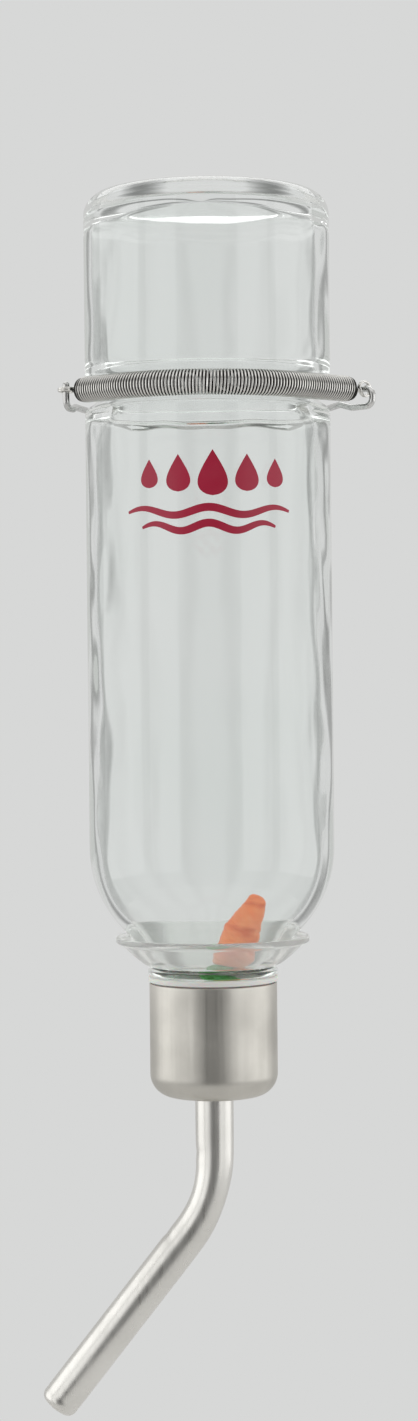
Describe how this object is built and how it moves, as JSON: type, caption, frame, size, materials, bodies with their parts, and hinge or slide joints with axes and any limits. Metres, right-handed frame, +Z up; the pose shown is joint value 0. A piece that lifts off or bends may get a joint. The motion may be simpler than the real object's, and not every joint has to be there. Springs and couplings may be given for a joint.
{
  "type": "small animal water bottle",
  "caption": "Inverted glass water bottle with a spring hanger, a steel screw cap, a carrot-shaped level float and a bent ball-valve drinking tube.",
  "frame": {"origin": "cage clamp: half-way between the back of the glass and the hanger's crossbar, level with the middle of the spring", "axes": "+Z up along the bottle as it hangs, +Y towards the cage, +X to the right as seen from outside the cage"},
  "size_m": [0.083, 0.0699, 0.2992],
  "materials": {
    "clear_glass": "clear soda-lime glass, polished",
    "ring_plastic": "clear flexible plastic, glossy",
    "cap_steel": "satin stainless sheet with a fine vertical grain",
    "liner_plastic": "natural white polypropylene",
    "seal_silicone": "pale silicone",
    "grommet_rubber": "dark grey rubber",
    "tube_steel": "satin stainless tube",
    "ball_steel": "polished stainless balls",
    "spring_steel": "bright stainless spring wire",
    "wire_steel": "bright galvanised wire",
    "float_orange": "orange moulded plastic",
    "float_green": "green moulded plastic"
  },
  "bodies": {
    "hanger_wire": {"hanger_wire": "wire_steel"},
    "spring": {"hanger_spring": "spring_steel"},
    "bottle": {"glass_bottle": "clear_glass", "neck_ring": "ring_plastic"},
    "float": {"float_carrot": "float_orange", "float_leaves": "float_green"},
    "seal": {"mouth_seal": "seal_silicone"},
    "cap": {"cap_shell": "cap_steel", "cap_liner": "liner_plastic", "tube_grommet": "grommet_rubber"},
    "tube": {"drinking_tube": "tube_steel", "tube_collar": "tube_steel"},
    "tip_ball": {"tip_ball": "ball_steel"},
    "upper_ball": {"upper_ball": "ball_steel"}
  },
  "joints": [
    {"name": "bottle_pull", "type": "slide", "parent": "hanger_wire", "child": "spring", "axis": [0, -1, 0], "range_m": [0, 0.01], "stiffness_N_per_m": 400, "deforming": ["hanger_spring"]},
    {"name": "bottle_turn", "type": "hinge", "parent": "spring", "child": "bottle", "pos_m": [0, -0.0325, 0], "axis": [0, 0, 1], "continuous": true},
    {"name": "float_rise", "type": "slide", "parent": "bottle", "child": "float", "axis": [0, 0, 1], "range_m": [0, 0.14]},
    {"name": "cap_advance", "type": "slide", "parent": "bottle", "child": "seal", "axis": [0, 0, -1], "range_m": [0, 0.0139]},
    {"name": "cap_turn", "type": "hinge", "parent": "seal", "child": "cap", "pos_m": [0, -0.0325, -0.155], "axis": [0, 0, -1], "range_deg": [0, 1170]},
    {"name": "tube_swivel", "type": "hinge", "parent": "cap", "child": "tube", "pos_m": [0, -0.0325, -0.17], "axis": [0, 0, 1], "continuous": true},
    {"name": "tip_ball_push", "type": "slide", "parent": "tube", "child": "tip_ball", "axis": [0.6184, 0, 0.7859], "range_m": [0, 0.0015]},
    {"name": "upper_ball_push", "type": "slide", "parent": "tube", "child": "upper_ball", "axis": [0.6184, 0, 0.7859], "range_m": [0, 0.0015]}
  ],
  "couplings": [
    {"joint": "cap_advance", "follows": "cap_turn", "m_per_rad": 0.00067322},
    {"joint": "upper_ball_push", "follows": "tip_ball_push", "ratio": 1}
  ]
}
